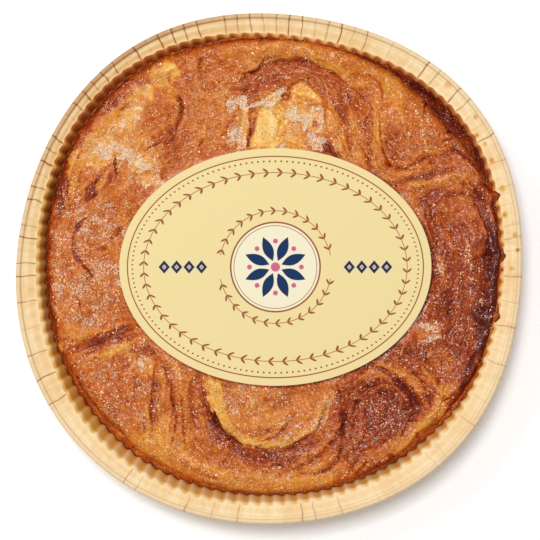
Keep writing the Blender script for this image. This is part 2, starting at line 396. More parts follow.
# Columns and rings of the crust's mesh
CRUST_AROUND = 780
TOP_RINGS = 92
SHOULDER_RINGS = 15
LABEL_RINGS = 6
LABEL_OVERLAP = 2.5

# Down the cake's side: shares of the way from its top edge out to where it meets the card, then shares
# of the way down from there to the foot, and how far each of these rings stands in
SIDE_OUT = (0.1, 0.25, 0.45, 0.7, 1)
SIDE_DOWN = (0.02, 0.12, 0.35, 0.6, 0.8, 0.92, 0.97, 1)
FOOT_ROUND = (0, 0, 0.1, 0, 0.1, 0.4, 1.2, 2.4)
SIDE_FOOT = 0.7

# How far butter has soaked the card's wall, where 0.5 is golden and 1 dark brown: everywhere, and in
# stains with a direction, spread and strength; and where the ledge is tanned, told the same way
PLAIN_STAIN = 0.36
STAINS = ((45, 36, 0.75), (212, 16, 0.22), (130, 46, 0.55), (0, 40, 0.2))
TANNED = ((125, 40, 1),)

# Spots of grease and caramel on the ledge: place, radius, strength
SPOTS = (
    ((75.9, 56.4), 1, 0.55), ((76.3, 49.7), 0.9, 0.7), ((81.8, 40.5), 1.1, 0.6), ((85.9, 30.2), 1.2, 0.5),
    ((65.6, 68.2), 1.5, 0.3), ((90.3, 12.9), 0.9, 0.6), ((91.4, 7.4), 0.8, 0.7), ((86.6, 20.4), 1, 0.6),
    ((79.4, 46.6), 0.7, 0.5), ((89.2, 0.4), 1, 0.45),
)

# Heights between which the cake has drawn the wall in: from the lowest to the top, and most at the middle
DRAWN_LOW = 6.0
DRAWN_FULL = 21.5
DRAWN_TOP = 28.5


def part_way(start, end, share):
    """The value a share of the way from start to end."""
    return start + (end - start) * share


def bell(value, middle, width):
    """1 at the middle, falling smoothly to almost nothing two widths away."""
    return np.exp(-((value - middle) / width) ** 2)


def smooth_step(low, high, value):
    """0 below low, 1 above high, and 3t^2 - 2t^3 between them."""
    t = np.clip((value - low) / (high - low), 0.0, 1.0)
    return t * t * (3.0 - 2.0 * t)


def facing(theta, direction):
    """1 in a direction, 0 opposite to it, and a cosine between."""
    return 0.5 + 0.5 * np.cos(theta - np.radians(direction))


def lobes(theta, waves):
    """Outward bulge at each angle: the sum of cosines, one for each wave."""
    return sum(size * np.cos(count * (theta - np.radians(crest))) for count, size, crest in waves)


def bumps_round(theta, table):
    """The sum of bell-shaped bumps round the cake: direction, spread and size of each."""
    total = np.zeros_like(theta)
    for direction, spread, size in table:
        turn = (theta - np.radians(direction) + np.pi) % TAU - np.pi
        total += size * bell(turn, 0.0, np.radians(spread))
    return total


def rim_middle():
    """Middle of the box round the bulging rim."""
    theta = np.arange(FLUTES) * TAU / FLUTES
    r = RIM_RADIUS + lobes(theta, RIM_LOBES)
    x, y = r * np.cos(theta), r * np.sin(theta)
    return np.array([(x.max() + x.min()) / 2, (y.max() + y.min()) / 2, 0.0])


CENTRE = rim_middle()


def wall_share(height):
    """Share of the way up the wall at a height."""
    return (height - FOOT_CORNER) / (WALL_TOP_HEIGHT - FOOT_CORNER)


def wall_radius(theta, height):
    """Middle of the card's wall without flutes: the lean plus the lobes, which grow with height."""
    up = wall_share(height)
    bulge = lobes(theta, WALL_LOBES) * part_way(FOOT_LOBE_SHARE, 1.0, up)
    return part_way(FOOT_RADIUS, WALL_TOP_RADIUS, up) + bulge


def gradient_noise(x, y, size, seed):
    """Smooth noise of about -1 to 1: random slopes at the corners of a square lattice, blended."""
    turns = np.random.default_rng(seed).uniform(0.0, TAU, (LATTICE, LATTICE))
    u, v = np.broadcast_arrays(x / size, y / size)
    i, j = np.floor(u).astype(int), np.floor(v).astype(int)
    fu, fv = u - i, v - j
    su, sv = fu * fu * (3.0 - 2.0 * fu), fv * fv * (3.0 - 2.0 * fv)

    def corner(di, dj):
        turn = turns[(i + di) % LATTICE, (j + dj) % LATTICE]
        return np.cos(turn) * (fu - di) + np.sin(turn) * (fv - dj)

    low = corner(0, 0) * (1.0 - su) + corner(1, 0) * su
    high = corner(0, 1) * (1.0 - su) + corner(1, 1) * su
    return 1.5 * (low * (1.0 - sv) + high * sv)


def layered_noise(x, y, layers):
    """The sum of noises, one for each row of feature size, height and seed."""
    return sum(height * gradient_noise(x, y, size, seed) for size, height, seed in layers)


def wander(x, y, size, reach, seed_x, seed_y):
    """The point moved by up to about reach, smoothly over the plane."""
    x = x + reach * gradient_noise(x, y, size, seed_x)
    return x, y + reach * gradient_noise(x, y, size, seed_y)


def oval_reach(x, y, centre, half_width, half_height, turn=0.0):
    """Distance from an oval's centre as a share of the way to its edge, the oval turned by degrees."""
    across, up = x - centre[0], y - centre[1]
    c, s = np.cos(np.radians(turn)), np.sin(np.radians(turn))
    return np.hypot((across * c + up * s) / half_width, (up * c - across * s) / half_height)


def arc_side(x, y, centre, half_width, half_height, first, last):
    """Distance inside an ellipse, distance along it, and the share of the way from first to last."""
    across, up = (x - centre[0]) / half_width, (y - centre[1]) / half_height
    radius = (half_width + half_height) / 2
    turn = (np.degrees(np.arctan2(up, across)) - first) % 360.0
    return (1.0 - np.hypot(across, up)) * radius, np.radians(turn) * radius, turn / (last - first)


def bow_side(x, y, start, middle, end):
    """Distance to the left of the parabola through three points, distance along it, and the share."""
    start, middle, end = np.array(start), np.array(middle), np.array(end)
    t = np.linspace(0.0, 1.0, BOW_SAMPLES)[:, None]
    handle = 2.0 * middle - (start + end) / 2
    path = (1.0 - t) ** 2 * start + 2.0 * t * (1.0 - t) * handle + t ** 2 * end
    nearest = np.argmin((x[..., None] - path[:, 0]) ** 2 + (y[..., None] - path[:, 1]) ** 2, axis=-1)
    heading = np.gradient(path, axis=0)
    spacing = np.linalg.norm(heading, axis=1)
    heading = heading / spacing[:, None]
    from_x, from_y = x - path[nearest, 0], y - path[nearest, 1]
    along = from_x * heading[nearest, 0] + from_y * heading[nearest, 1]
    side = from_y * heading[nearest, 0] - from_x * heading[nearest, 1]
    share = (nearest + along / spacing[nearest]) / (BOW_SAMPLES - 1)
    return side, share * spacing.sum(), share


def depth_inside(x, y, corners):
    """Distance inside a closed outline of straight lines, and minus the distance outside it."""
    gap = np.full_like(x, np.inf)
    held = np.zeros(x.shape, dtype=bool)
    for start, end in zip(corners, np.roll(corners, -1, axis=0)):
        run = end - start
        share = np.clip(((x - start[0]) * run[0] + (y - start[1]) * run[1]) / (run ** 2).sum(), 0.0, 1.0)
        gap = np.minimum(gap, np.hypot(x - start[0] - share * run[0], y - start[1] - share * run[1]))
        spans = (start[1] > y) != (end[1] > y)
        held ^= spans & ((x - start[0]) * abs(run[1]) < (y - start[1]) * run[0] * np.sign(run[1]))
    return np.where(held, gap, -gap)


def strands(side, along, seed):
    """Noise of about -1 to 1 stretched along a lap, as the torn layers of dough are."""
    return sum(size * gradient_noise(side, along / STRAND_STRETCH, wide, seed + k)
               for k, (wide, size) in enumerate(STRANDS))


def terrace(value):
    """Steps of 1 with a steep but smooth rise between them."""
    level = np.floor(value)
    return level + smooth_step(0.72, 1.0, value - level)


def lap_sides(x, y):
    """Every lap's side, distance along, fading towards its ends, lift and reach."""
    sides = [(arc_side(x, y, *lap[:5]), lap[5], lap[6]) for lap in ARC_LAPS]
    sides += [(bow_side(x, y, *lap[:3]), lap[3], lap[4]) for lap in BOW_LAPS]
    for (side, along, share), lift, reach in sides:
        fade = smooth_step(0.0, LAP_FADE, share) * smooth_step(0.0, LAP_FADE, 1.0 - share)
        yield np.sign(lift) * side, along, fade, abs(lift), reach


class Crust:
    """Relief and colour of the crust at points of the plane: lumps and hollows, then laps with their
    strands, plates and fine lumps, then colours, streaks, flakes and the torn top."""

    def __init__(self, x, y):
        self.height = layered_noise(x, y, LUMPS)
        for *oval, depth in HOLLOWS:
            self.height -= depth * (1.0 - smooth_step(0.6, 1.2, oval_reach(x, y, *oval)))
        fine_x, fine_y = wander(*wander(x, y, *WANDER), *FINE_WANDER)
        self.fold(fine_x, fine_y)
        plates = PLATE_STEPS * (gradient_noise(fine_x, fine_y, PLATE_SIZE, 33) + 0.35 * self.strands)
        self.plates = terrace(plates) - plates
        self.height += PLATE_HEIGHT * self.plates
        self.height += layered_noise(fine_x, fine_y, FINE_LUMPS)
        self.fine = sum(gradient_noise(fine_x, fine_y, size, seed) for size, _, seed in FINE_LUMPS) / 3.0
        self.bake, self.sugar, self.glaze = (np.full_like(x, value) for value in BASE_TONE)
        self.colour(*wander(*wander(fine_x, fine_y, *COLOUR_WANDER), *FINE_COLOUR_WANDER))
        torn_x, torn_y = wander(x, y, *FINE_WANDER)
        self.streak(torn_x, torn_y)
        self.flake(torn_x, torn_y)
        self.tear(x, y)

    def fold(self, x, y):
        """Each lap lifts one side by lift * exp(-side / reach), sinks the other in a groove, and
        carries strands: noise stretched along the lap."""
        self.strands, reached = np.zeros_like(x), np.full_like(x, 0.2 ** 2)
        self.lip, self.pit = np.zeros_like(x), np.zeros_like(x)
        for number, (side, along, fade, lift, reach) in enumerate(lap_sides(x, y)):
            torn = 0.75 + 0.6 * gradient_noise(along, side / 4.0, 7.0, 200 + number)
            fade = fade * np.clip(torn, 0.15, 1.3)
            lip = lift * np.exp(-np.maximum(side, 0.0) / reach)
            groove = -GROOVE_SHARE * lift * bell(side, 0.0, GROOVE_WIDTH)
            lifted = 0.5 + 0.5 * np.tanh(side / (0.5 * LAP_EDGE))
            self.height += fade * part_way(groove, lip, lifted)
            near = fade * bell(side, 0.0, 2.0 * reach)
            self.strands += near * strands(side, along, 40 + 4 * number)
            reached += near ** 2
            lip = fade * lift * lifted * np.exp(-np.maximum(side, 0.0) / LIP_WIDTH)
            self.lip = np.maximum(self.lip, lip)
            self.pit = np.maximum(self.pit, fade * lift * (1.0 - lifted) * bell(side, 0.0, PIT_WIDTH))
        self.strands += 0.2 * strands(np.hypot(x, y), 60.0 * np.arctan2(y, x), 36)
        self.strands /= np.sqrt(reached)
        self.height += STRAND_HEIGHT * self.strands

    def pull(self, tone, weights, mask, where=...):
        """Draws browning, sugar and glaze towards a tone, each by its weight, where a mask is 1."""
        for layer, value, weight in zip((self.bake, self.sugar, self.glaze), tone, weights):
            layer[where] += (value - layer[where]) * weight * mask

    def colour(self, x, y):
        """Patches and bands: each pulls browning, sugar and glaze towards its own, by its weight."""
        for *oval, bake, sugar, glaze, weight in PATCHES:
            mask = 1.0 - smooth_step(0.78, 1.08, oval_reach(x, y, *oval))
            self.pull((bake, sugar, glaze), (weight,) * 3, mask)
        for centre, first, last, inner, outer, *tone, weight in BANDS:
            side, _, share = arc_side(x, y, centre, 1.0, 1.0, first, last)
            r = 1.0 - side
            soft = 0.2 * (outer - inner)
            ends = smooth_step(-0.02, 0.15, share) * smooth_step(-0.02, 0.15, 1.0 - share)
            across = smooth_step(inner - soft, inner + soft, r) * smooth_step(soft, -soft, r - outer)
            self.pull(tone, (weight,) * 3, ends * across)

    def streak(self, x, y):
        """Cracks, streaks and lips: each takes its own colour within its uneven, tapering width."""
        for start, middle, end, half_width, *tone, lift in STREAKS:
            points = np.array([start, middle, end])
            margin = 3.0 * half_width + 1.0
            low, high = points.min(axis=0) - margin, points.max(axis=0) + margin
            near = np.nonzero((x > low[0]) & (x < high[0]) & (y > low[1]) & (y < high[1]))
            side, along, share = bow_side(x[near], y[near], *points)
            taper = np.sqrt(np.sin(np.pi * np.clip(share, 0.0, 1.0)) + 0.02)
            uneven = 1.0 + 0.5 * gradient_noise(along, side * 0.3 + start[0], 2.4, 25)
            mask = smooth_step(1.3, 0.7, np.abs(side) / (half_width * taper * uneven))
            self.height[near] += lift * mask
            self.pull(tone, (0.75, 0.8, 0.8), mask, near)

    def flake(self, x, y):
        """Torn flakes and windows: each takes its own colour inside its edge, which noise makes ragged."""
        rough = layered_noise(x, y, FLAKE_EDGE)
        for centre, half_width, half_height, turn, *tone, lift in FLAKES:
            reach = np.clip(rough * 5.0 / min(half_width, half_height), -0.45, 0.45)
            out = oval_reach(x, y, centre, half_width, half_height, turn)
            mask = smooth_step(1.06, 0.94, out + reach)
            self.height += lift * mask
            self.pull(tone, (0.92,) * 3, mask)

    def tear(self, x, y):
        """The torn top: each sheet of dough takes its own colour inside its ragged outline."""
        rough = layered_noise(x, y, SHEET_EDGE)
        for corners, bake, sugar, glaze, lift in SHEETS:
            depth = depth_inside(x, y, np.array(corners)) + rough
            mask = smooth_step(-0.25, 0.25, depth)
            self.height += (lift - 0.7 + 0.3 * rough - self.height) * 0.8 * mask
            shade = (0.22 if lift < 0.0 else 0.1) * bell(depth, 0.0, 0.5)
            self.pull((bake + 0.06 * rough + shade, sugar, glaze), (0.95,) * 3, mask)


def crown(x, y):
    """The plain top: a shallow paraboloid."""
    return CROWN_HEIGHT - CROWN_FALL * (x ** 2 + y ** 2) / CROWN_RADIUS ** 2


def label_reach(theta):
    """Distance from the plane's origin to the label's edge: the ellipse's quadratic solved for r."""
    squares = 1.0 / np.array([LABEL_HALF_LENGTH, LABEL_HALF_WIDTH]) ** 2
    middle = np.array(LABEL_CENTRE)
    a = squares[0] * np.cos(theta) ** 2 + squares[1] * np.sin(theta) ** 2
    b = squares[0] * np.cos(theta) * middle[0] + squares[1] * np.sin(theta) * middle[1]
    c = (squares * middle ** 2).sum() - 1.0
    return (b + np.sqrt(b ** 2 - a * c)) / a


def rim_plan(theta):
    """Widths of wall and side shown, and the edge's rise, at each direction."""
    plan = np.array(RIM_PLAN)
    return (np.interp(np.degrees(theta), plan[:, 0], column, period=360.0) for column in plan[:, 1:].T)


def touch_radius(theta):
    """Distance of the line where the cake meets the card, less the flutes."""
    wall_shown, _, _ = rim_plan(theta)
    return LEDGE_INNER_RADIUS + lobes(theta, WALL_LOBES) - wall_shown


def touch_height(theta):
    """Height where the cake meets the card: where the wall, or the corner above it, is that far out."""
    bulge = lobes(theta, WALL_LOBES)
    target = touch_radius(theta) + WALL_CLEAR
    lean = WALL_TOP_RADIUS - FOOT_RADIUS + (1.0 - FOOT_LOBE_SHARE) * bulge
    up = (target - FOOT_RADIUS - FOOT_LOBE_SHARE * bulge) / lean
    on_wall = part_way(FOOT_CORNER, WALL_TOP_HEIGHT, up)
    over = np.maximum(target - WALL_TOP_RADIUS - bulge, 0.0) / (LEDGE_INNER_RADIUS - WALL_TOP_RADIUS)
    on_corner = part_way(WALL_TOP_HEIGHT, LEDGE_HEIGHT, over)
    return np.clip(np.where(over > 0.0, on_corner, on_wall), LOWEST_TOUCH, HIGHEST_TOUCH)


def ragged(theta):
    """How far the cake's torn edge stands in from the solid's: noise round it at two sizes."""
    around = theta * CAKE_RADIUS
    bays = 0.45 * gradient_noise(around, EDGE_HEIGHT / 3.0, CAKE_RADIUS * TAU / 64, 31)
    teeth = 0.3 * gradient_noise(around, EDGE_HEIGHT / 2.0, CAKE_RADIUS * TAU / 192, 34)
    return bays + teeth - 0.2


def edge_radius(theta):
    """Distance of the cake's top edge."""
    _, side_shown, _ = rim_plan(theta)
    return touch_radius(theta) - side_shown + ragged(theta)


def drawn_in(theta, height):
    """How far the cake has drawn the card's wall in: most at DRAWN_FULL, none at foot and ledge."""
    up = smooth_step(DRAWN_LOW, DRAWN_FULL, height) * smooth_step(DRAWN_TOP, DRAWN_FULL, height)
    plain = wall_radius(theta, touch_height(theta))
    return np.maximum(plain - touch_radius(theta) - WALL_CLEAR, 0.0) * up


def flute_swing(theta):
    """How far the wall's folds swing out: a wave of uneven depth, leaning to one side."""
    flute = np.floor(theta * FLUTES / TAU + 1e-6)
    turn = theta * FLUTES - np.pi - TAU * flute
    uneven = 1.0 + 0.25 * gradient_noise(flute, 0.0, 2.2, 72)
    return -FLUTE_SWING * uneven * np.cos(turn + 0.5 * np.cos(turn))


def flute_share(height):
    """Share of the full swing that the folds have at a height of the wall."""
    return part_way(1.0, TOP_FLUTE_SHARE, np.clip(wall_share(height), 0.0, 1.0) ** 3)


def crust_surface(theta, r, edge):
    """Heights and crust at polar points: the crown with relief, flat under the label, less the shoulder."""
    x, y = r * np.cos(theta), r * np.sin(theta)
    crust = Crust(x, y)
    clear = smooth_step(0.0, PRESS_MARGIN, r - label_reach(theta))
    into_shoulder = np.clip(1.0 - (edge - r) / SHOULDER_WIDTH, 0.0, 1.0)
    drop = SHOULDER_DROP * (1.0 - np.sqrt(1.0 - into_shoulder ** 2))
    kept = clear * part_way(1.0, SHOULDER_RELIEF, into_shoulder)
    _, _, rise = rim_plan(theta)
    rise = rise * smooth_step(RISE_WIDTH, 0.0, edge - r)
    return x, y, crown(x, y) + crust.height * kept - drop + rise, crust


def polar_grid(theta, r, z):
    """Points in the plane's millimetres at angles, distances and heights."""
    return np.stack([r * np.cos(theta), r * np.sin(theta), z], axis=-1)


def round_mesh(name, grid, first_pole=None, last_pole=None, attributes=None):
    """A mesh from a grid of rings of points (rings, around, 3) in millimetres of the plane: quads
    between rings, closed round, and triangles to a pole before the first or after the last ring."""
    rings, around = grid.shape[:2]
    points = grid.reshape(-1, 3)
    poles = [pole for pole in (first_pole, last_pole) if pole is not None]
    if poles:
        points = np.concatenate([points, np.array(poles, dtype=float)])
    k = np.arange(around)
    follow = (k + 1) % around
    low = (np.arange(rings - 1) * around)[:, None]
    high = low + around
    quads = np.stack([low + k, high + k, high + follow, low + follow], axis=-1).reshape(-1, 4)
    fans = [NO_TRIANGLES]
    if first_pole is not None:
        fans.append(np.stack([np.full(around, rings * around), k, follow], axis=-1))
    if last_pole is not None:
        last = (rings - 1) * around
        fans.append(np.stack([last + k, np.full(around, len(points) - 1), last + follow], axis=-1))
    return plain_mesh(name, points, quads, np.concatenate(fans), attributes)


def plain_mesh(name, points, quads, triangles=NO_TRIANGLES, attributes=None):
    """A smooth-shaded mesh object from points in millimetres of the plane, quads and triangles.
    attributes holds one value a point under each name; poles that have none get 0."""
    points = (points - CENTRE) * MM
    mesh = bpy.data.meshes.new(name)
    mesh.vertices.add(len(points))
    mesh.vertices.foreach_set("co", points.astype(np.float32).ravel())
    corners = np.concatenate([quads.ravel(), triangles.ravel()]).astype(np.int32)
    starts = np.concatenate([np.arange(len(quads)) * 4, 4 * len(quads) + np.arange(len(triangles)) * 3])
    mesh.loops.add(len(corners))
    mesh.loops.foreach_set("vertex_index", corners)
    mesh.polygons.add(len(starts))
    mesh.polygons.foreach_set("loop_start", starts.astype(np.int32))
    mesh.polygons.foreach_set("use_smooth", np.ones(len(starts), dtype=bool))
    mesh.update(calc_edges=True)
    for key, values in (attributes or {}).items():
        values = np.asarray(values, dtype=np.float32).ravel()
        layer = mesh.attributes.new(key, "FLOAT", "POINT")
        layer.data.foreach_set("value", np.pad(values, (0, len(points) - len(values))))
    mesh.validate()
    piece = bpy.data.objects.new(name, mesh)
    bpy.context.scene.collection.objects.link(piece)
    return piece


def give_thickness(piece, name, thickness):
    """Turns a surface into a sheet of a thickness, half of it on either side."""
    sheet = piece.modifiers.new(name, "SOLIDIFY")
    sheet.thickness = thickness
    sheet.offset = 0.0


def settle(piece, material, slot, *nodes):
    """Gives a finished piece its material and hands it to the frame: its body, its slot and the solids
    it stands for."""
    piece.data.materials.append(material)
    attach(piece, "root")
    if nodes:
        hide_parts(*nodes)


def maths_operator(operation, swapped=False):
    """A method that adds a Math node for a wire and another value, which comes first if swapped."""
    def method(wire, other):
        return wire.maths(operation, *((other, wire) if swapped else (wire, other)))
    return method


class Wire:
    """A value in a material's nodes. Operators on it add Math nodes, and node() adds any other."""

    def __init__(self, tree, socket=None):
        self.tree = tree
        self.socket = socket

    def feed(self, target, value):
        """Links a wire into a socket, or sets the socket's own value."""
        if isinstance(value, Wire):
            self.tree.links.new(value.socket, target)
        else:
            target.default_value = value

    def node(self, kind, settings=None, sockets=None, out=0):
        """Adds a node of a type: first its settings (ramp stops too), then its sockets."""
        made = self.tree.nodes.new("ShaderNode" + kind)
        for key, value in (settings or {}).items():
            if key == "stops":
                fill_ramp(made.color_ramp, value)
            else:
                setattr(made, key, value)
        for key, value in (sockets or {}).items():
            self.feed(made.inputs[key], value)
        return Wire(self.tree, made.outputs[out])

    def maths(self, operation, *values):
        """Adds a Math node."""
        return self.node("Math", {"operation": operation}, dict(enumerate(values)))

    __add__ = __radd__ = maths_operator("ADD")
    __sub__ = maths_operator("SUBTRACT")
    __rsub__ = maths_operator("SUBTRACT", swapped=True)
    __mul__ = __rmul__ = maths_operator("MULTIPLY")
    __truediv__ = maths_operator("DIVIDE")
    __pow__ = maths_operator("POWER")
    most = maths_operator("MAXIMUM")
    least = maths_operator("MINIMUM")
    # y.angle_over(x) is the direction of the point (x, y) in radians
    angle_over = maths_operator("ARCTAN2")

    def size(self):
        """The value without its sign."""
        return self.maths("ABSOLUTE", self)

    def root(self):
        """The square root."""
        return self.maths("SQRT", self)

    def step(self, low, high):
        """0 at low, 1 at high, and an S-curve between them; low may be the greater."""
        values = {"Value": self, "From Min": low, "From Max": high}
        return self.node("MapRange", {"interpolation_type": "SMOOTHSTEP"}, values)

    def tint(self, under, over):
        """Colour: under where this mask is 0, over where it is 1."""
        return self.node("Mix", {"data_type": "RGBA"}, {0: self, 6: under, 7: over}, out=2)


def fill_ramp(ramp, stops):
    """Sets a colour ramp's stops from (position, colour) pairs."""
    while len(ramp.elements) < len(stops):
        ramp.elements.new(1.0)
    for element, (position, colour) in zip(ramp.elements, stops):
        element.position = position
        element.color = rgba(colour)


def rgba(colour):
    """A colour property or triple with full opacity."""
    return (*colour[:3], 1.0)


def srgb(red, green, blue):
    """A linear colour from display values of 0 to 255."""
    shown = np.array([red, green, blue]) / 255.0
    linear = np.where(shown <= 0.04045, shown / 12.92, ((shown + 0.055) / 1.055) ** 2.4)
    return tuple(float(value) for value in linear)


def new_material(name, **constants):
    """A material, a wire to start from, and its Principled node with constants set on its sockets."""
    material = bpy.data.materials.new(name)
    material.use_nodes = True
    surface = material.node_tree.nodes["Principled BSDF"]
    for key, value in constants.items():
        surface.inputs[key.replace("_", " ")].default_value = value
    return material, Wire(material.node_tree), surface


def object_place(start):
    """The point's own place in the piece."""
    return start.node("TexCoord", out=3)


def attribute(start, name):
    """The value of a point attribute."""
    return start.node("Attribute", {"attribute_name": name}, out=2)


def feed_bump(start, surface, strength, depth, height):
    """Feeds the surface's normal with bumps whose full height is a depth in millimetres."""
    sockets = {"Strength": strength, "Distance": depth * MM, "Height": height}
    start.feed(surface.inputs["Normal"], start.node("Bump", None, sockets))


def speckle(start, place, size, detail=3.0, roughness=0.55):
    """Noise of 0 to 1 with features of a size in millimetres."""
    return start.node("TexNoise", None, {"Vector": place, "Scale": 1.0 / (size * MM), "Detail": detail,
                                         "Roughness": roughness})


def crystals(start, place, size, share):
    """Mask of dots about a size in millimetres apart, in a share of the cells; and the distance to them."""
    cells = {"Vector": place, "Scale": 1.0 / (size * MM)}
    distance = start.node("TexVoronoi", None, cells)
    chance = start.node("SeparateColor", None, {0: start.node("TexVoronoi", None, cells, out=1)})
    return distance.step(0.42, 0.22) * (share - chance).step(0.0, 0.06), distance


def crust_material(settings):
    """Browned dough: a ramp from pale crumb to burnt caramel, grains of sugar, and pools of glaze."""
    material, start, surface = new_material("caramelised_crust", Coat_Roughness=0.14, IOR=1.45,
                                            Specular_IOR_Level=0.2)
    place = object_place(start)
    bake, sugar, glaze = (attribute(start, name) for name in ("bake", "sugar", "glaze"))
    crowd = speckle(start, place, 4.2, 3.0, 0.65).step(0.4, 0.62)
    sugar = sugar * (0.3 + 1.05 * crowd)
    grain = speckle(start, place, 0.55, 2.0, 0.6) - 0.5
    grain = grain * (0.45 + 1.1 * crowd - 0.5 * glaze * crowd)
    mottle = speckle(start, place, 2.6, 4.0, 0.6) - 0.5
    tone = bake + 0.02 + grain + 0.3 * mottle
    stops = ((0.0, settings.crumb), (0.2, settings.butter), (0.37, settings.golden),
             (0.54, settings.caramel), (0.69, settings.brown), (0.84, settings.dark), (1.0, settings.burnt))
    colour = start.node("ValToRGB", {"stops": stops}, {0: tone})
    dust = (speckle(start, place, 0.75, 3.0, 0.75) + 0.36 * sugar.least(1.18)).step(0.8, 1.02)
    colour = (dust * 0.84).tint(colour, rgba(settings.dust))
    fine_dots, _ = crystals(start, place, 0.5, 0.03 + 0.46 * sugar + 0.06 * crowd)
    colour = (fine_dots * 0.7).tint(colour, rgba(settings.dust))
    dots, distance = crystals(start, place, 0.66, 0.01 + 0.42 * sugar + 0.14 * glaze * crowd)
    colour = (dots * 0.88).tint(colour, rgba(settings.sugar))
    start.feed(surface.inputs["Base Color"], colour)
    start.feed(surface.inputs["Roughness"], 0.5 - 0.38 * glaze + 0.1 * crowd)
    start.feed(surface.inputs["Coat Weight"], glaze * 0.2)
    ripple = speckle(start, place, 0.8, 2.0, 0.6) * glaze
    bumps = 0.6 * (grain + ripple) + 0.5 * dots + 0.3 * fine_dots + 0.8 * mottle - 0.2 * distance * crowd
    feed_bump(start, surface, 1.0, 0.5, bumps)
    return material


def sugar_material(settings):
    """Grains of sugar, from melted amber to white."""
    material, start, surface = new_material("sugar_grains", Roughness=0.2, IOR=1.5, Emission_Strength=0.12)
    colour = attribute(start, "white").tint(rgba(settings.melted), rgba(settings.sugar))
    start.feed(surface.inputs["Base Color"], colour)
    start.feed(surface.inputs["Emission Color"], colour)
    return material


def card_material(settings):
    """Pale pressed card: fibres, darker folds, and grease soaked into the wall."""
    material, start, surface = new_material("kraft_card", IOR=1.5)
    place = object_place(start)
    soak, fold, panel = (attribute(start, name) for name in ("soak", "fold", "panel"))
    fibres = start.node("Mapping", None, {"Vector": place, "Scale": (1.0, 3.0, 1.0)})
    fibre = speckle(start, fibres, 1.8, 4.0) - 0.5
    cloud = speckle(start, place, 14.0, 2.0) - 0.5
    tone = (0.45 * fibre + 0.5 * cloud + 0.35 * panel + 0.5).step(0.1, 0.9)
    colour = tone.tint(rgba(settings.card_dark), rgba(settings.card_light))
    colour = soak.step(0.0, 0.55).tint(colour, rgba(settings.card_soaked))
    colour = soak.step(0.5, 1.0).tint(colour, rgba(settings.card_stained))
    colour = fold.step(0.0, 0.8).tint(colour, rgba(settings.card_fold))
    start.feed(surface.inputs["Base Color"], colour)
    start.feed(surface.inputs["Roughness"], 0.62 - 0.15 * soak)
    feed_bump(start, surface, 0.25, 0.2, fibre)
    return material


def inside(distance):
    """Mask of a printed shape from the signed distance in millimetres to its outline."""
    return distance.step(0.09, -0.09)


def line(distance, half_width):
    """Mask of a printed line along where a distance is 0."""
    return inside(distance.size() - half_width)


def any_of(mask, *others):
    """Mask of the places that any of the masks covers."""
    for other in others:
        mask = mask.most(other)
    return mask


def cell(turn, count):
    """Place inside one of a number of equal cells: -0.5 to 0.5."""
    return turn.maths("FRACT", turn * count) - 0.5


def row_of_dots(turn, count, pitch, distance, radius):
    """Mask of round dots, one in each cell along a line."""
    return inside(((cell(turn, count) * pitch) ** 2 + distance ** 2).root() - radius)


def sprig(turn, count, pitch, distance, leaf):
    """Mask of a stem with a pair of slanting oval leaves in each cell along a line."""
    along = cell(turn, count) * pitch
    out = distance.size()
    forward = along * 0.77 + out * 0.64 - leaf
    across = out * 0.77 - along * 0.64
    oval = ((forward / leaf) ** 2 + (across / (0.32 * leaf)) ** 2).root()
    return any_of(inside((oval - 1.0) * 0.32 * leaf), line(distance, 0.13))


def russet_print(x, y, r, turn, medallion):
    """Mask of the medallion's lines, the border with its dots and leaves, and the wreath."""
    edge = ((x / LABEL_HALF_LENGTH) ** 2 + (y / LABEL_HALF_WIDTH) ** 2).root()
    slope = ((x / LABEL_HALF_LENGTH ** 2) ** 2 + (y / LABEL_HALF_WIDTH ** 2) ** 2).root()
    inset = (1.0 - edge) * edge / slope
    round_edge = (y / LABEL_HALF_WIDTH).angle_over(x / LABEL_HALF_LENGTH) / TAU
    dots = row_of_dots(round_edge, BORDER_DOTS, DOT_PITCH, inset - DOTS_INSET, 0.36)
    leaves = sprig(round_edge, BORDER_LEAVES, LEAF_PITCH, inset - LEAVES_INSET, 1.25)
    wreath = sprig(turn, WREATH_LEAVES, WREATH_PITCH, r - WREATH_RADIUS, 1.15)
    wreath = wreath * (y.size() - WREATH_GAP).step(0.0, 0.1)
    rings = any_of(line(r - medallion, 0.3), line(r - (medallion - 1.2), 0.12))
    return any_of(rings, line(inset - BORDER_INSET, 0.22), dots, leaves, wreath)


def flower_print(r, turn):
    """Masks of the flower's petals, and of its middle and the buds between petals."""
    spoke = cell(turn, PETALS).size()
    along = (r - PETAL_START) / PETAL_LENGTH * np.pi
    width = along.maths("SINE", along) * PETAL_HALF_WIDTH
    petals = inside(spoke * (TAU / PETALS) * r - width)
    petals = petals * inside(r - PETAL_START - PETAL_LENGTH) * inside(PETAL_START - r)
    between = (spoke - 0.5).size() * (TAU / PETALS) * r
    bud = (between ** 2 + (r - BUDS_RADIUS) ** 2).root() - 0.9
    return petals, any_of(inside(r - 1.7), inside(bud))


def lozenge_print(x, y):
    """Masks of the rows of lozenges at either side, and of the diamonds in their middles."""
    side = x.size() - LOZENGE_START
    along = cell(side / LOZENGE_PITCH, 1.0) * LOZENGE_PITCH
    reach = along.size() + y.size() * 0.85
    band = inside(0.0 - side) * inside(side - LOZENGES * LOZENGE_PITCH)
    return inside(reach - 2.1) * inside(0.8 - reach) * band, inside(reach - 0.45) * band


